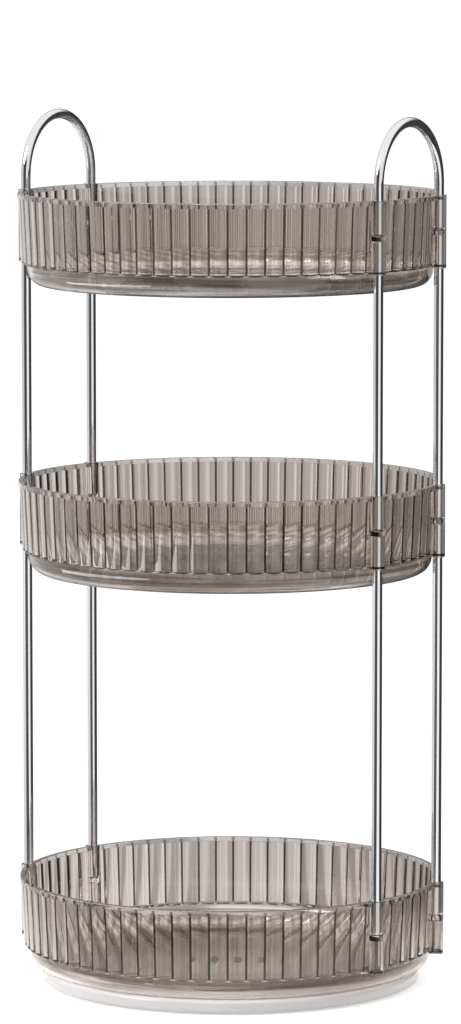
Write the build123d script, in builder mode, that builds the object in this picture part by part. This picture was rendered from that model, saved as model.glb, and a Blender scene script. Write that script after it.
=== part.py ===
"""Three-tier rotating organiser: fluted clear trays on chromed rods over a ball-bearing base.

Millimetres, +Z up. The origin is the centre of the tower on the surface that it stands on.
The two pairs of rods, with an arched handle over each pair, stand at +X and -X.
"""
import math
import os

from build123d import *

# --- driving dimensions: the tray moulding, heights measured down from its rim ---
rim_radius = 130.0  # over the crests of the flutes, at the rim
flute_count = 72
flute_depth = 1.2
band_height = 3.0  # the plain band above the flutes
band_proud = 0.4  # how far the band stands out past the crests
wall_height = 43.5  # from the rim to the foot of the flutes
wall_lean = 2.0  # how far the wall leans in over that height
wall_thickness = 1.8  # behind a valley
foot_taper = 1.2  # height and inset of the tapered foot of the flutes
ledge_width = 4.0  # from the crests at the foot in to the bowl
bowl_height = 13.0  # from the foot of the flutes down to the underside
bowl_corner_radius = 9.0
floor_thickness = 2.0
rim_edge_radius = 0.5

# --- driving dimensions: rods, sockets and arches ---
rod_radius = 3.0
rod_chamfer = 0.5
arch_leg_spacing = 75.0  # between the two rods of a pair
socket_offset = 0.25  # from the crests at the rim out to the rods' axes
socket_fit = 0.1  # radial clearance round a rod
socket_wall = 1.5
socket_straight = 19.0  # straight depth of the upper socket, above its round bottom
socket_stop = 1.9  # plastic between the upper socket and the lower one
socket_drop = 1.0  # how far a socket boss hangs below the foot of the flutes
socket_edge_radius = 0.5
rod_end_gap = 0.1  # left at each end of a rod

# --- driving dimensions: the tiers ---
lower_tier_rise = 245.8  # rim to rim, bottom tray to middle tray
upper_tier_rise = 176.4  # rim to rim, middle tray to top tray
arch_rise = 48.2  # from the top rim to the top of an arch

# --- driving dimensions: the base and its turntable ---
base_radius = 117.0
base_height = 7.4
base_floor = 2.4
base_skirt = 4.0
base_edge_radius = 2.0
tray_gap = 0.8  # between the base and the bottom tray
foot_count = 6
foot_radius = 7.0
foot_proud = 1.2
foot_recess = 1.0
foot_inset = 19.0  # from the base's edge in to the middle of a foot
foot_fit = 0.1
foot_edge_radius = 0.4
ball_count = 16
ball_radius = 2.0
ball_circle_radius = 70.0
ball_fit = 0.05
track_gap = 1.6  # between the base's floor and the turntable plate
cage_thickness = 0.9
cage_width = 12.0
cage_pocket_fit = 0.15
plate_side_gap = 2.5  # between the turntable plate and the base's skirt
plate_thickness = 2.4
ring_inset = 8.5  # from the plate's edge in to the raised ring that carries the bottom tray
ring_width = 14.0
hub_radius = 10.0
hub_gap = 0.2  # between the base's hub and the turntable plate

# --- driving dimensions: the fasteners ---
pivot_radius = 3.0
pivot_fit = 0.05
pivot_play = 0.05  # above and below the washer
pivot_head_radius = 5.0
pivot_head_height = 1.2
pivot_recess_radius = 7.5
pivot_recess_depth = 2.0
pivot_shank_radius = 1.6
pivot_shank_length = 3.4
washer_radius = 6.5
washer_thickness = 0.45
tray_screw_count = 4
tray_screw_radius = 1.5
tray_screw_length = 5.2
tray_screw_head_radius = 3.2
tray_screw_head_height = 1.8
screw_fit = 0.05
screw_hole_spare = 0.2  # blind holes are this much deeper than their screw
tray_hole_fit = 0.2
drive_slot_width = 0.8
drive_slot_depth = 0.8

# --- heights and radii worked out from the above ---
tray_depth = wall_height + bowl_height
base_top = foot_proud + base_height
base_floor_top = foot_proud + base_floor
plate_bottom = base_floor_top + track_gap
ball_height = base_floor_top + track_gap / 2
bottom_tray_underside = base_top + tray_gap
bottom_rim = bottom_tray_underside + tray_depth
middle_rim = bottom_rim + lower_tier_rise
top_rim = middle_rim + upper_tier_rise

plate_radius = base_radius - base_skirt - plate_side_gap
ring_radius = plate_radius - ring_inset - ring_width / 2
foot_circle_radius = base_radius - foot_inset

# --- sockets worked out from the above ---
socket_radius = rod_radius + socket_fit
boss_radius = socket_radius + socket_wall
socket_circle_radius = rim_radius + socket_offset
pair_half_angle = math.degrees(math.asin(arch_leg_spacing / 2 / socket_circle_radius))
rod_x = socket_circle_radius * math.cos(math.radians(pair_half_angle))
rod_y = arch_leg_spacing / 2
lower_socket_top = socket_straight + socket_radius + socket_stop
boss_height = wall_height + socket_drop
# a rod comes to rest where its chamfer begins to meet the round bottom of its socket
rod_seat_below_straight = math.sqrt(socket_radius**2 - rod_radius**2)
rod_seat = socket_straight + rod_seat_below_straight + rod_chamfer - rod_end_gap
rod_reach = lower_socket_top + rod_end_gap

rod_places = {
    "right_front": (rod_x, -rod_y),
    "right_back": (rod_x, rod_y),
    "left_front": (-rod_x, -rod_y),
    "left_back": (-rod_x, rod_y),
}

os.makedirs("parts", exist_ok=True)


def save(piece, name):
    """Label a finished piece and write it under its own name."""
    piece.label = name
    export_step(piece, f"parts/{name}.step")


def on_circle(radius, degrees):
    """A point on a circle about the tower's axis."""
    angle = math.radians(degrees)
    return (radius * math.cos(angle), radius * math.sin(angle))


# --- one socket boss with its rim at height 0, and the two sockets to cut in it ---
with BuildPart() as socket_boss:
    with BuildSketch():
        Circle(boss_radius)
    extrude(amount=-boss_height)
    fillet(socket_boss.edges().group_by(Axis.Z)[0], min(socket_edge_radius, socket_wall / 2))

with BuildPart() as socket_cut:
    # the upper socket has a round bottom, the lower one a flat top
    with BuildSketch():
        Circle(socket_radius)
    extrude(amount=-socket_straight)
    with Locations((0, 0, -socket_straight)):
        Sphere(socket_radius)
    with BuildSketch(Plane.XY.offset(-boss_height)):
        Circle(socket_radius)
    extrude(amount=boss_height - lower_socket_top)

# --- the tray moulding, with its rim at height 0 and its fluted wall leaning in downwards ---
foot_crest = rim_radius - wall_lean
bowl_radius = foot_crest - ledge_width
inner_rim = rim_radius - flute_depth - wall_thickness
inner_foot = foot_crest - flute_depth - wall_thickness
inner_bowl = bowl_radius - floor_thickness
outer_corner = min(bowl_corner_radius, bowl_height)
inner_corner = outer_corner - floor_thickness
ledge_top = floor_thickness - wall_height
floor_top = floor_thickness - tray_depth
flute_pitch = 360 / flute_count
lean_per_height = wall_lean / wall_height
# height and radius over the crests at the foot, above its taper and under the band
flute_stations = [
    (-wall_height, foot_crest - foot_taper),
    (foot_taper - wall_height, foot_crest + foot_taper * lean_per_height),
    (-band_height, rim_radius - band_height * lean_per_height),
]

with BuildPart() as tray_moulding:
    # the plain band at the rim
    with BuildSketch():
        Circle(rim_radius + band_proud)
    extrude(amount=-band_height)
    fillet(tray_moulding.edges().group_by(Axis.Z)[-1], rim_edge_radius)
    # the bowl below the flutes
    with BuildSketch(Plane.XZ):
        with BuildLine():
            Polyline(
                (0, -wall_height),
                (bowl_radius, -wall_height),
                (bowl_radius, outer_corner - tray_depth),
            )
            RadiusArc(
                (bowl_radius, outer_corner - tray_depth),
                (bowl_radius - outer_corner, -tray_depth),
                outer_corner,
            )
            Polyline(
                (bowl_radius - outer_corner, -tray_depth),
                (0, -tray_depth),
                (0, -wall_height),
            )
        make_face()
    revolve(axis=Axis.Z)
    # the fluted wall, solid for now
    for height, crest_radius in flute_stations:
        with BuildSketch(Plane.XY.offset(height)):
            with BuildLine():
                for flute in range(flute_count):
                    ThreePointArc(
                        on_circle(crest_radius - flute_depth, flute * flute_pitch),
                        on_circle(crest_radius, (flute + 0.5) * flute_pitch),
                        on_circle(crest_radius - flute_depth, (flute + 1) * flute_pitch),
                    )
            make_face()
    loft(ruled=True)
    # the hollow, with a ledge inside at the foot of the wall
    with BuildSketch(Plane.XZ):
        with BuildLine():
            Line((0, 0), (inner_rim + rim_edge_radius, 0))
            RadiusArc(
                (inner_rim + rim_edge_radius, 0),
                (inner_rim, -rim_edge_radius),
                -rim_edge_radius,
            )
            Polyline(
                (inner_rim, -rim_edge_radius),
                (inner_foot, ledge_top),
                (inner_bowl, ledge_top),
                (inner_bowl, floor_top + inner_corner),
            )
            RadiusArc(
                (inner_bowl, floor_top + inner_corner),
                (inner_bowl - inner_corner, floor_top),
                inner_corner,
            )
            Polyline(
                (inner_bowl - inner_corner, floor_top),
                (0, floor_top),
                (0, 0),
            )
        make_face()
    revolve(axis=Axis.Z, mode=Mode.SUBTRACT)
    # the socket bosses stand partly inside the hollow
    with Locations(*rod_places.values()):
        add(socket_boss.part)
        add(socket_cut.part, mode=Mode.SUBTRACT)


def make_tray(name, rim_height, screw_count=0):
    """The tray moulding at its height in the tower, with screw holes in its floor if asked."""
    with BuildPart() as tray:
        with Locations((0, 0, rim_height)):
            add(tray_moulding.part)
        if screw_count:
            with BuildSketch(Plane.XY.offset(rim_height - tray_depth)):
                with PolarLocations(ring_radius, screw_count):
                    Circle(tray_screw_radius + tray_hole_fit)
            extrude(amount=floor_thickness, mode=Mode.SUBTRACT)
    save(tray.part, name)


def make_rod(name, place, bottom, top):
    """A straight chromed rod with chamfered ends."""
    with BuildPart() as rod:
        with BuildSketch(Plane.XY.offset(bottom)):
            with Locations(place):
                Circle(rod_radius)
        extrude(amount=top - bottom)
        chamfer(rod.edges().filter_by(GeomType.CIRCLE), rod_chamfer)
    save(rod.part, name)


def make_arch(name, x):
    """A handle bent from one rod, with both legs in the top tray's upper sockets."""
    leg_bottom = top_rim - rod_seat
    bend_height = top_rim + arch_rise - rod_radius - rod_y
    with BuildPart() as arch:
        with BuildLine():
            Line((x, -rod_y, leg_bottom), (x, -rod_y, bend_height))
            ThreePointArc(
                (x, -rod_y, bend_height),
                (x, 0, bend_height + rod_y),
                (x, rod_y, bend_height),
            )
            Line((x, rod_y, bend_height), (x, rod_y, leg_bottom))
        with BuildSketch(Plane.XY.offset(leg_bottom)):
            with Locations((x, -rod_y)):
                Circle(rod_radius)
        sweep()
        leg_ends = arch.edges().filter_by(GeomType.CIRCLE).group_by(Axis.Z)[0]
        chamfer(leg_ends, rod_chamfer)
    save(arch.part, name)


# --- the trays ---
make_tray("bottom_tray", bottom_rim, screw_count=tray_screw_count)
make_tray("middle_tray", middle_rim)
make_tray("top_tray", top_rim)

# --- the rods and the arched handles ---
for place_name, place in rod_places.items():
    make_rod(f"lower_rod_{place_name}", place, bottom_rim - rod_seat, middle_rim - rod_reach)
    make_rod(f"upper_rod_{place_name}", place, middle_rim - rod_seat, top_rim - rod_reach)
make_arch("right_arch_handle", rod_x)
make_arch("left_arch_handle", -rod_x)

# --- the fixed base: a shallow dish with a ball track, a pivot hub and recesses for its feet ---
hub_top = plate_bottom - hub_gap
recess_roof = foot_proud + pivot_recess_depth
with BuildPart() as base_disc:
    with BuildSketch(Plane.XY.offset(foot_proud)):
        Circle(base_radius)
    extrude(amount=base_height)
    fillet(base_disc.edges(), min(base_edge_radius, base_skirt / 2))
    with BuildSketch(Plane.XY.offset(base_floor_top)):
        Circle(base_radius - base_skirt)
        Circle(hub_radius, mode=Mode.SUBTRACT)
    extrude(amount=base_height, mode=Mode.SUBTRACT)
    with BuildSketch(Plane.XY.offset(hub_top)):
        Circle(hub_radius)
    extrude(amount=base_height, mode=Mode.SUBTRACT)
    with BuildSketch(Plane.XY.offset(foot_proud)):
        Circle(pivot_recess_radius)
    extrude(amount=pivot_recess_depth, mode=Mode.SUBTRACT)
    with BuildSketch(Plane.XY.offset(recess_roof)):
        Circle(pivot_radius + pivot_fit)
    extrude(amount=hub_top - recess_roof, mode=Mode.SUBTRACT)
    with BuildSketch(Plane.XY.offset(foot_proud)):
        with PolarLocations(foot_circle_radius, foot_count):
            Circle(foot_radius + foot_fit)
    extrude(amount=foot_recess, mode=Mode.SUBTRACT)
    with Locations((0, 0, ball_height)):
        Torus(ball_circle_radius, ball_radius + ball_fit, mode=Mode.SUBTRACT)
save(base_disc.part, "base_disc")

with BuildPart() as rubber_feet:
    with BuildSketch():
        with PolarLocations(foot_circle_radius, foot_count):
            Circle(foot_radius)
    extrude(amount=foot_proud + foot_recess)
    fillet(rubber_feet.edges().group_by(Axis.Z)[0], foot_edge_radius)
save(rubber_feet.part, "rubber_feet")

# --- the ball bearing ---
with BuildPart() as bearing_balls:
    with PolarLocations(ball_circle_radius, ball_count):
        with Locations((0, 0, ball_height)):
            Sphere(ball_radius)
save(bearing_balls.part, "bearing_balls")

with BuildPart() as ball_cage:
    with BuildSketch(Plane.XY.offset(ball_height - cage_thickness / 2)):
        Circle(ball_circle_radius + cage_width / 2)
        Circle(ball_circle_radius - cage_width / 2, mode=Mode.SUBTRACT)
        with PolarLocations(ball_circle_radius, ball_count):
            Circle(ball_radius + cage_pocket_fit, mode=Mode.SUBTRACT)
    extrude(amount=cage_thickness)
save(ball_cage.part, "ball_cage")

# --- the turning plate: a ball track below, a ring and a hub under the bottom tray ---
with BuildPart() as turntable_plate:
    with BuildSketch(Plane.XY.offset(plate_bottom)):
        Circle(plate_radius)
    extrude(amount=plate_thickness)
    with BuildSketch(Plane.XY.offset(plate_bottom)):
        Circle(ring_radius + ring_width / 2)
        Circle(ring_radius - ring_width / 2, mode=Mode.SUBTRACT)
        Circle(hub_radius)
    extrude(amount=bottom_tray_underside - plate_bottom)
    with BuildSketch(Plane.XY.offset(plate_bottom)):
        Circle(pivot_shank_radius + screw_fit)
    extrude(amount=pivot_shank_length + screw_hole_spare, mode=Mode.SUBTRACT)
    with BuildSketch(Plane.XY.offset(bottom_tray_underside)):
        with PolarLocations(ring_radius, tray_screw_count):
            Circle(tray_screw_radius + screw_fit)
    extrude(
        amount=floor_thickness - tray_screw_length - screw_hole_spare,
        mode=Mode.SUBTRACT,
    )
    with Locations((0, 0, ball_height)):
        Torus(ball_circle_radius, ball_radius + ball_fit, mode=Mode.SUBTRACT)
save(turntable_plate.part, "turntable_plate")

# --- the pivot: a shoulder screw from below, with a washer under the base's hub ---
washer_top = recess_roof - pivot_play
washer_bottom = washer_top - washer_thickness
head_top = washer_bottom - pivot_play
head_bottom = head_top - pivot_head_height
with BuildPart() as pivot_washer:
    with BuildSketch(Plane.XY.offset(washer_bottom)):
        Circle(washer_radius)
        Circle(pivot_radius + pivot_fit, mode=Mode.SUBTRACT)
    extrude(amount=washer_thickness)
save(pivot_washer.part, "pivot_washer")

with BuildPart() as pivot_screw:
    with BuildSketch(Plane.XY.offset(head_bottom)):
        Circle(pivot_head_radius)
    extrude(amount=pivot_head_height)
    with BuildSketch(Plane.XY.offset(head_top)):
        Circle(pivot_radius)
    extrude(amount=plate_bottom - head_top)
    with BuildSketch(Plane.XY.offset(plate_bottom)):
        Circle(pivot_shank_radius)
    extrude(amount=pivot_shank_length)
    with BuildSketch(Plane.XY.offset(head_bottom)):
        Rectangle(pivot_head_radius, drive_slot_width)
        Rectangle(drive_slot_width, pivot_head_radius)
    extrude(amount=drive_slot_depth, mode=Mode.SUBTRACT)
save(pivot_screw.part, "pivot_screw")

# --- the screws that hold the bottom tray to the plate ---
tray_floor = bottom_tray_underside + floor_thickness
with BuildPart() as tray_screws:
    with BuildSketch(Plane.XY.offset(tray_floor)):
        with PolarLocations(ring_radius, tray_screw_count):
            Circle(tray_screw_head_radius)
    extrude(amount=tray_screw_head_height)
    fillet(tray_screws.edges().group_by(Axis.Z)[-1], tray_screw_head_height / 2)
    with BuildSketch(Plane.XY.offset(tray_floor)):
        with PolarLocations(ring_radius, tray_screw_count):
            Circle(tray_screw_radius)
    extrude(amount=-tray_screw_length)
    with BuildSketch(Plane.XY.offset(tray_floor + tray_screw_head_height)):
        with PolarLocations(ring_radius, tray_screw_count):
            Rectangle(tray_screw_head_radius, drive_slot_width)
            Rectangle(drive_slot_width, tray_screw_head_radius)
    extrude(amount=-drive_slot_depth, mode=Mode.SUBTRACT)
save(tray_screws.part, "tray_screws")
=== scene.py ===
"""Looks of the rotating tower of fluted clear trays: materials, studio and camera."""
import math

import bpy
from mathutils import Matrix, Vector


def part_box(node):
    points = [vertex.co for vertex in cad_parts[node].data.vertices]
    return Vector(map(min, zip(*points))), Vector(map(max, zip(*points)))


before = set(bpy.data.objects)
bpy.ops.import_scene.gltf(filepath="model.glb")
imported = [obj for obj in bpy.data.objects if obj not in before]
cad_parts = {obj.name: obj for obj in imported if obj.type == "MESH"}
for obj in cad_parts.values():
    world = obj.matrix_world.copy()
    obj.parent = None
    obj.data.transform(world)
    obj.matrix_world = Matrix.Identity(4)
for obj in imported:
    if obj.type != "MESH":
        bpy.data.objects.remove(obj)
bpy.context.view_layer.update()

# --- pieces, and sizes in metres ---
TRAYS = ("bottom_tray", "middle_tray", "top_tray")
RODS = [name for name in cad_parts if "_rod_" in name]
ARCHES = ("left_arch_handle", "right_arch_handle")
# the fluted wall, with the same sizes as in the part's source
FLUTE_COUNT = 72
FLUTE_DEPTH = 0.0012
WALL_HEIGHT = 0.0435
WALL_LEAN = 0.002
BAND_HEIGHT = 0.003
BAND_PROUD = 0.0004
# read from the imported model
CREST_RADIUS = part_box("top_tray")[1].y - BAND_PROUD
ROD_X = (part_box("lower_rod_right_front")[0].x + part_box("lower_rod_right_front")[1].x) / 2
ROD_Y = (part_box("lower_rod_right_back")[0].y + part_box("lower_rod_right_back")[1].y) / 2


# --- small helpers for shader graphs ---
class Graph:
    """A node tree that is written one call per node."""

    def __init__(self, tree):
        self.tree = tree
        self.tree.nodes.clear()

    def add(self, kind, **settings):
        node = self.tree.nodes.new(kind)
        for key, value in settings.items():
            setattr(node, key, value)
        return node

    def feed(self, node, **inputs):
        """Sets sockets by name, or by index as _0, _1 and so on, from a value or another socket."""
        for key, value in inputs.items():
            is_index = key[1:].isdigit()
            socket = node.inputs[int(key[1:]) if is_index else key.replace("_", " ")]
            if isinstance(value, bpy.types.NodeSocket):
                self.tree.links.new(value, socket)
            else:
                socket.default_value = value
        return node

    def math(self, operation, first, second=0.0, third=0.0):
        node = self.add("ShaderNodeMath", operation=operation)
        self.feed(node, _0=first, _1=second, _2=third)
        return node.outputs[0]

    def ramp(self, value, low, high, start=0.0, end=1.0):
        """A smooth step from start at low to end at high."""
        node = self.add("ShaderNodeMapRange", interpolation_type="SMOOTHSTEP")
        self.feed(node, _0=value, _1=low, _2=high, _3=start, _4=end)
        return node.outputs[0]

    def join(self, x, y):
        node = self.add("ShaderNodeCombineXYZ")
        self.feed(node, X=x, Y=y)
        return node.outputs[0]

    def stops(self, value, stops):
        """A colour that runs straight from stop to stop."""
        node = self.add("ShaderNodeValToRGB")
        elements = node.color_ramp.elements
        while len(elements) < len(stops):
            elements.new(1.0)
        for element, (position, colour) in zip(elements, stops):
            element.position = position
            element.color = tuple(colour) + (1,)
        self.feed(node, Fac=value)
        return node.outputs["Color"]

    def product(self, *values):
        result = values[0]
        for value in values[1:]:
            result = self.math("MULTIPLY", result, value)
        return result

    def length(self, vector):
        node = self.add("ShaderNodeVectorMath", operation="LENGTH")
        self.feed(node, _0=vector)
        return node.outputs["Value"]

    def noise(self, vector, scale, detail=3.0):
        node = self.add("ShaderNodeTexNoise")
        self.feed(node, Vector=vector, Scale=scale, Detail=detail)
        return node.outputs["Fac"]

    def mix(self, factor, first, second):
        node = self.add("ShaderNodeMix", data_type="RGBA")
        self.feed(node, _0=factor, _6=first, _7=second)
        return node.outputs[2]

    def bump(self, height, strength, distance):
        node = self.add("ShaderNodeBump")
        self.feed(node, Strength=strength, Distance=distance, Height=height)
        return node.outputs["Normal"]


def new_material(name):
    """A principled material, with its graph, its shader and the place on the piece."""
    material = bpy.data.materials.new(name)
    material.use_nodes = True
    graph = Graph(material.node_tree)
    output = graph.add("ShaderNodeOutputMaterial")
    shader = graph.add("ShaderNodeBsdfPrincipled")
    graph.feed(output, Surface=shader.outputs[0])
    place = graph.add("ShaderNodeTexCoord").outputs["Object"]
    return material, graph, shader, place


NOISE_SPAN = (0.3, 0.7)  # the values that most of a noise lies between

# --- the clear trays: colours and marks ---
# the two darkest colours here are painted shade and the brightest is a painted highlight
SHADE_BLACK = (0.010, 0.008, 0.007)
SHADE_DEEP = (0.54, 0.46, 0.41)
SMOKE = (0.65, 0.585, 0.545)
PALE = (0.81, 0.755, 0.715)
HIGHLIGHT_WHITE = (0.97, 0.95, 0.94)
# painted shade and painted highlights across one flute, from valley to valley: dark lines at the valleys and
# bright lines beside them
ACROSS_FLUTE = (
    (0.0, SHADE_BLACK), (0.052, SHADE_BLACK), (0.07, SHADE_DEEP), (0.095, HIGHLIGHT_WHITE), (0.16, PALE), (0.3, SMOKE),
    (0.36, PALE), (0.4, HIGHLIGHT_WHITE), (0.44, SMOKE), (0.68, SMOKE), (0.72, PALE), (0.76, SMOKE),
    (0.88, SHADE_DEEP), (0.91, PALE), (0.93, SHADE_DEEP), (0.948, SHADE_BLACK), (1.0, SHADE_BLACK),
)
OUTSIDE_ENDS = (1.15 * FLUTE_DEPTH, 1.35 * FLUTE_DEPTH)  # depths inwards from the crests
STEP = 0.0001  # the height over which the flutes' lines begin and end
BOWL_STEP = 0.001  # the same for the bowl's streaks
# painted shade and painted highlight for the bowl's streaks
BOWL_SHADE = (0.50, 0.43, 0.38)
BOWL_HIGHLIGHT = (0.97, 0.93, 0.90)
STREAK_SCALE = (7.0, 7.0, 380.0)  # long around the bowl and thin in height
STREAK_EDGES = (0.41, 0.59)  # of the noise, where it is still dark and where it is fully light
# painted light: the paler colour of the socket bosses
BOSS_PAINTED_LIGHT = (0.84, 0.80, 0.77)
BOSS_EDGES = (0.0050, 0.0047)  # from the rod's axis, where the painted lighter colour begins and where it is full
# painted shade: a dark edge at the rim, dark marks in the band over each valley and a dark line at the foot
# of the flutes
RIM_EDGES = (0.0004, 0.0001)  # under the rim, where its dark edge begins and where it is full
RIM_DARKNESS = 0.55
MARK_EDGES = (0.36, 0.46)  # from a flute's middle, as a share of its width
MARK_MIDDLE = 0.62 * BAND_HEIGHT  # under the rim
MARK_REACH = 0.32 * BAND_HEIGHT  # up and down from there
MARK_DARKNESS = 0.85
FOOT_EDGES = (WALL_HEIGHT - 0.0014, WALL_HEIGHT - 0.0008)  # under the rim


def smoke_plastic(name, rim_height):
    """Clear smoke-grey plastic, with the dark and bright lines of its flutes and edges painted in it as shade
    and highlights.
    """
    material, graph, shader, place = new_material(name)
    parts = graph.add("ShaderNodeSeparateXYZ")
    graph.feed(parts, Vector=place)
    x, y, z = parts.outputs
    radius = graph.length(graph.join(x, y))
    below_rim = graph.math("SUBTRACT", rim_height, z)
    lean = graph.math("MULTIPLY", below_rim, WALL_LEAN / WALL_HEIGHT)
    crest = graph.math("SUBTRACT", CREST_RADIUS, lean)
    depth = graph.math("SUBTRACT", crest, radius)
    outside = graph.ramp(depth, *OUTSIDE_ENDS, start=1.0, end=0.0)
    turn = graph.math("DIVIDE", graph.math("ARCTAN2", y, x), 2 * math.pi)
    across = graph.math("FRACT", graph.math("MULTIPLY", turn, float(FLUTE_COUNT)))
    under_band = graph.ramp(below_rim, BAND_HEIGHT - STEP, BAND_HEIGHT - STEP / 2)
    above_foot = graph.ramp(below_rim, WALL_HEIGHT + STEP, WALL_HEIGHT)
    fluted = graph.product(outside, under_band, above_foot)
    # the smooth parts: cloudy, with long level streaks of painted shade and painted highlight in the bowl
    stretched = graph.add("ShaderNodeMapping")
    graph.feed(stretched, Vector=place, Scale=STREAK_SCALE)
    bowl = graph.ramp(below_rim, WALL_HEIGHT, WALL_HEIGHT + BOWL_STEP)
    streak = graph.ramp(graph.noise(stretched.outputs[0], scale=1.0), *STREAK_EDGES)
    smooth = graph.mix(graph.noise(place, scale=9.0), SMOKE + (1,), PALE + (1,))
    smooth = graph.mix(bowl, smooth, graph.mix(streak, BOWL_SHADE + (1,), BOWL_HIGHLIGHT + (1,)))
    colour = graph.mix(fluted, smooth, graph.stops(across, ACROSS_FLUTE))
    # painted light: paler in the socket bosses, which have more walls to see through
    from_x = graph.math("SUBTRACT", graph.math("ABSOLUTE", x), ROD_X)
    from_y = graph.math("SUBTRACT", graph.math("ABSOLUTE", y), ROD_Y)
    boss = graph.ramp(graph.length(graph.join(from_x, from_y)), *BOSS_EDGES)
    colour = graph.mix(boss, colour, BOSS_PAINTED_LIGHT + (1,))
    # painted shade at the rim's edge, in the band over each valley and at the foot of the flutes
    edge = graph.ramp(below_rim, *RIM_EDGES, end=RIM_DARKNESS)
    from_middle = graph.math("ABSOLUTE", graph.math("SUBTRACT", across, 0.5))
    in_band = graph.math("COMPARE", below_rim, MARK_MIDDLE, MARK_REACH)
    mark = graph.product(graph.ramp(from_middle, *MARK_EDGES), in_band, outside, MARK_DARKNESS)
    foot = graph.product(graph.ramp(below_rim, *FOOT_EDGES), fluted)
    dark = graph.math("MAXIMUM", graph.math("MAXIMUM", edge, mark), foot)
    ripple = graph.noise(place, scale=160.0, detail=2.0)
    graph.feed(
        shader,
        Base_Color=graph.mix(dark, colour, SHADE_BLACK + (1,)),
        Roughness=0.02,
        IOR=1.5,
        Specular_IOR_Level=0.9,
        Transmission_Weight=1.0,
        Normal=graph.bump(ripple, strength=0.04, distance=0.0004),
    )
    return material


def chrome():
    """Bright chrome with a faint haze."""
    material, graph, shader, place = new_material("chrome_plate")
    haze = graph.noise(place, scale=45.0)
    ripple = graph.noise(place, scale=300.0, detail=2.0)
    graph.feed(
        shader,
        Base_Color=graph.mix(haze, (0.83, 0.84, 0.86, 1), (0.90, 0.90, 0.91, 1)),
        Metallic=1.0,
        Roughness=graph.ramp(haze, *NOISE_SPAN, start=0.03, end=0.07),
        Normal=graph.bump(ripple, strength=0.02, distance=0.0002),
    )
    return material


def white_plastic():
    """Glossy white plastic, faintly cloudy."""
    material, graph, shader, place = new_material("white_plastic")
    cloud = graph.noise(place, scale=14.0)
    ripple = graph.noise(place, scale=400.0, detail=2.0)
    graph.feed(
        shader,
        Base_Color=graph.mix(cloud, (0.80, 0.77, 0.775, 1), (0.86, 0.84, 0.84, 1)),
        Roughness=graph.ramp(cloud, *NOISE_SPAN, start=0.16, end=0.24),
        Coat_Weight=0.4,
        Coat_Roughness=0.05,
        Normal=graph.bump(ripple, strength=0.05, distance=0.0002),
    )
    return material


def steel(name, colour, roughness):
    """Steel with a fine grain."""
    material, graph, shader, place = new_material(name)
    grain = graph.noise(place, scale=700.0)
    darker = tuple(0.8 * channel for channel in colour) + (1,)
    graph.feed(
        shader,
        Base_Color=graph.mix(grain, darker, tuple(colour) + (1,)),
        Metallic=1.0,
        Roughness=graph.ramp(grain, *NOISE_SPAN, start=roughness, end=roughness * 1.8),
        Normal=graph.bump(grain, strength=0.05, distance=0.0001),
    )
    return material


def plain(name, colour, roughness, grain_scale):
    """Dull plastic or rubber with a fine grain."""
    material, graph, shader, place = new_material(name)
    grain = graph.noise(place, grain_scale)
    darker = tuple(0.85 * channel for channel in colour) + (1,)
    graph.feed(
        shader,
        Base_Color=graph.mix(grain, darker, tuple(colour) + (1,)),
        Roughness=roughness,
        Normal=graph.bump(grain, strength=0.2, distance=0.0002),
    )
    return material


def dress(names, material):
    """Gives every slot of these CAD nodes one material."""
    for name in names:
        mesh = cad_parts[name].data
        mesh.materials.clear()
        mesh.materials.append(material)


for tray in TRAYS:
    dress([tray], smoke_plastic("smoke_" + tray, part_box(tray)[1].z))
    # clear plastic lets most light through, so the trays cast no shadow
    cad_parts[tray].visible_shadow = False
dress([*RODS, *ARCHES], chrome())
dress(["base_disc", "turntable_plate"], white_plastic())
dress(["rubber_feet"], plain("grey_rubber", (0.22, 0.22, 0.23), roughness=0.7, grain_scale=500.0))
dress(["ball_cage"], plain("cage_plastic", (0.72, 0.71, 0.66), roughness=0.45, grain_scale=300.0))
dress(["bearing_balls"], steel("bearing_steel", (0.62, 0.62, 0.64), roughness=0.08))
dress(["pivot_screw", "pivot_washer", "tray_screws"], steel("zinc_steel", (0.68, 0.68, 0.70), roughness=0.22))


# --- the camera, where the photograph was taken from ---
LENS_PIXELS = 5402.0  # focal length in pixels of the photograph
PHOTO_HEIGHT_PIXELS = 1024
SENSOR = 36.0
CAMERA_DISTANCE = 3.304  # level distance to the tower's axis
CAMERA_HEIGHT = 0.671
CAMERA_PITCH = math.radians(6.56)  # down
CAMERA_AZIMUTH = math.radians(30.8)

camera_data = bpy.data.cameras.new("camera")
camera_data.sensor_width = SENSOR
camera_data.lens = LENS_PIXELS / PHOTO_HEIGHT_PIXELS * SENSOR
camera_data.clip_end = 50
camera = bpy.data.objects.new("camera", camera_data)
bpy.context.scene.collection.objects.link(camera)
camera.location = (
    CAMERA_DISTANCE * math.sin(CAMERA_AZIMUTH),
    -CAMERA_DISTANCE * math.cos(CAMERA_AZIMUTH),
    CAMERA_HEIGHT,
)
camera.rotation_euler = (math.pi / 2 - CAMERA_PITCH, 0, CAMERA_AZIMUTH)
bpy.context.scene.camera = camera


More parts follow.
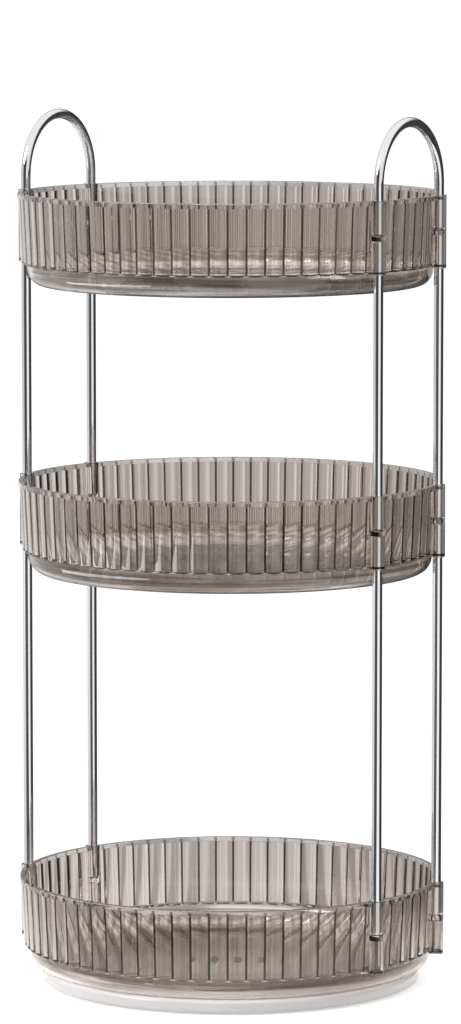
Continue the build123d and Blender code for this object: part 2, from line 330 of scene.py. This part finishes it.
# --- the studio: a white floor and surround, with dark parts that only metal and plastic show ---
WORLD_LIGHT = 0.47  # on the object, where the background is 1
STREAK_COUNT = 16
STREAK_TURN = math.radians(4.15)
SURROUND_STREAK_EDGES = (0.0, -0.9)  # cosines where a dark streak of the surround begins and is full
THROUGH = (0.80, 0.46)  # how bright the surround is through plastic, between its streaks and in them
WHITE = (0.95, 0.95, 0.95, 1)  # what reflections meet on the white parts
INSIDE_WHITE = 0.15  # the share of that in reflections inside the plastic
OVERHEAD = (0.30, 0.60)  # upward parts of a direction, where the white overhead begins and is full
DUSK = (0.14, 0.08, 0.05, 1)  # towards the studio's darker side
DARK_SIDE = math.radians(120.8)  # right of the camera
DUSK_SPAN = (-0.08, 0.19)  # metres towards that side over which the floor dims
DUSK_LEFT = 0.66  # the share of its light that the floor keeps there
WHITE_PATCH = (0.34, 0.14)  # metres from the axis, where the mirrored floor turns white and is so
FLOOR_SIZE = 40.0  # half its side
AIM = Vector((0, 0, 0.27))  # what the lamps look at
WARM = (1.0, 0.92, 0.91)
# what a reflection meets all round the tower: degrees from the front, going right, and brightness
REFLECTED = (
    (0, 0.06), (33, 0.06), (42, 0.9), (82, 0.9), (90, 0.04), (218, 0.05), (228, 0.6), (250, 0.7),
    (283, 0.7), (289, 0.45), (297, 0.45), (303, 0.7), (318, 0.68), (332, 0.3), (343, 0.08),
    (360, 0.06),
)


def surround(graph, direction, white, lit=1.0):
    """Whether a ray sees the studio as bright as the camera does, and how bright it is this way.

    A reflection meets the dark parts except where white is 1. Clear plastic shows the studio
    dimmer where lit is below 1.
    """
    path = graph.add("ShaderNodeLightPath").outputs
    bent = graph.math("MAXIMUM", path["Is Glossy Ray"], path["Is Transmission Ray"])
    seen = graph.math("MAXIMUM", path["Is Camera Ray"], bent)
    parts = graph.add("ShaderNodeSeparateXYZ")
    graph.feed(parts, Vector=direction)
    x, y, _ = parts.outputs
    azimuth = graph.math("ARCTAN2", x, graph.math("MULTIPLY", y, -1.0))
    from_streak = graph.math("SUBTRACT", azimuth, STREAK_TURN)
    turned = graph.math("MULTIPLY", from_streak, float(STREAK_COUNT))
    through = graph.ramp(graph.math("COSINE", turned), *SURROUND_STREAK_EDGES, *THROUGH)
    through = graph.mix(lit, DUSK, through)
    turn = graph.math("FRACT", graph.math("DIVIDE", azimuth, 2 * math.pi))
    greys = [(degrees / 360, (grey, grey, grey)) for degrees, grey in REFLECTED]
    mirrored = graph.mix(white, graph.stops(turn, greys), WHITE)
    inside = graph.math("GREATER_THAN", path["Transmission Depth"], 0.5)
    mirrored = graph.mix(graph.math("MULTIPLY", inside, INSIDE_WHITE), mirrored, WHITE)
    is_mirrored = graph.math("GREATER_THAN", path["Glossy Depth"], 0.5)
    shade = graph.mix(is_mirrored, through, mirrored)
    return seen, graph.mix(bent, (1, 1, 1, 1), shade)


def make_world():
    """The surround: white to the camera, and dimmer as light on the object."""
    world = bpy.data.worlds.new("surround")
    bpy.context.scene.world = world
    world.use_nodes = True
    graph = Graph(world.node_tree)
    output = graph.add("ShaderNodeOutputWorld")
    background = graph.add("ShaderNodeBackground")
    direction = graph.add("ShaderNodeTexCoord").outputs["Generated"]
    parts = graph.add("ShaderNodeSeparateXYZ")
    graph.feed(parts, Vector=direction)
    seen, shade = surround(graph, direction, graph.ramp(parts.outputs[2], *OVERHEAD))
    strength = graph.math("ADD", WORLD_LIGHT, graph.math("MULTIPLY", seen, 1 - WORLD_LIGHT))
    graph.feed(background, Color=shade, Strength=strength)
    graph.feed(output, Surface=background.outputs[0])


def make_floor():
    """White paper that fades into the surround and keeps the tower's shadow."""
    size = FLOOR_SIZE
    mesh = bpy.data.meshes.new("floor")
    corners = [(-size, -size, 0), (size, -size, 0), (size, size, 0), (-size, size, 0)]
    mesh.from_pydata(corners, [], [(0, 1, 2, 3)])
    floor = bpy.data.objects.new("floor", mesh)
    bpy.context.scene.collection.objects.link(floor)
    material, graph, shader, place = new_material("floor_paper")
    reach = graph.length(place)
    along = graph.add("ShaderNodeVectorMath", operation="DOT_PRODUCT")
    graph.feed(along, _0=place, _1=(math.sin(DARK_SIDE), -math.cos(DARK_SIDE), 0.0))
    lit = graph.ramp(along.outputs["Value"], *DUSK_SPAN, start=1.0, end=DUSK_LEFT)
    seen, shade = surround(graph, place, graph.ramp(reach, *WHITE_PATCH), lit)
    # the glow that keeps the paper white rises with the distance from the tower
    glow = graph.ramp(reach, low=0.2, high=3.0, start=0.50, end=0.64)
    graph.feed(
        shader,
        Base_Color=graph.mix(0.9, (0, 0, 0, 1), shade),
        Roughness=1.0,
        Specular_IOR_Level=0.0,
        Emission_Color=shade,
        Emission_Strength=graph.math("MULTIPLY", seen, glow),
    )
    mesh.materials.append(material)


def make_lamp(name, azimuth, distance, height, width, tall, watts, colour=(1, 1, 1)):
    """A soft lamp that looks at the middle of the tower."""
    data = bpy.data.lights.new(name, "AREA")
    data.shape = "RECTANGLE"
    data.size = width
    data.size_y = tall
    data.energy = watts
    data.color = colour
    lamp = bpy.data.objects.new(name, data)
    bpy.context.scene.collection.objects.link(lamp)
    angle = math.radians(azimuth)
    lamp.location = (distance * math.sin(angle), -distance * math.cos(angle), height)
    lamp.rotation_euler = (AIM - lamp.location).to_track_quat("-Z", "Y").to_euler()
    return lamp


clear_trays = bpy.data.collections.new("clear_trays")
for tray in TRAYS:
    clear_trays.objects.link(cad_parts[tray])


def make_sheen(name, azimuth, distance, height, width, tall, watts):
    """A soft lamp that only shows as a reflection on the clear trays."""
    lamp = make_lamp(name, azimuth, distance, height, width, tall, watts)
    lamp.visible_diffuse = False
    lamp.visible_transmission = False
    lamp.light_linking.receiver_collection = clear_trays


make_world()
make_floor()
make_lamp("key", azimuth=-35.0, distance=2.6, height=1.9, width=1.2, tall=1.2, watts=40)
make_lamp("fill", azimuth=100.0, distance=2.6, height=1.2, width=1.4, tall=1.4, watts=4, colour=WARM)
make_sheen("sheen_top", azimuth=-20.0, distance=0.5, height=2.2, width=2.0, tall=2.0, watts=60)
make_sheen("sheen_low", azimuth=-45.0, distance=0.75, height=0.06, width=0.9, tall=0.16, watts=3)
for azimuth, watts in ((30, 8), (120, 10), (210, 6), (300, 10)):
    make_sheen(f"veil_{azimuth}", azimuth, 1.8, height=0.9, width=2.4, tall=1.8, watts=watts)

bpy.context.scene.view_settings.view_transform = "Standard"
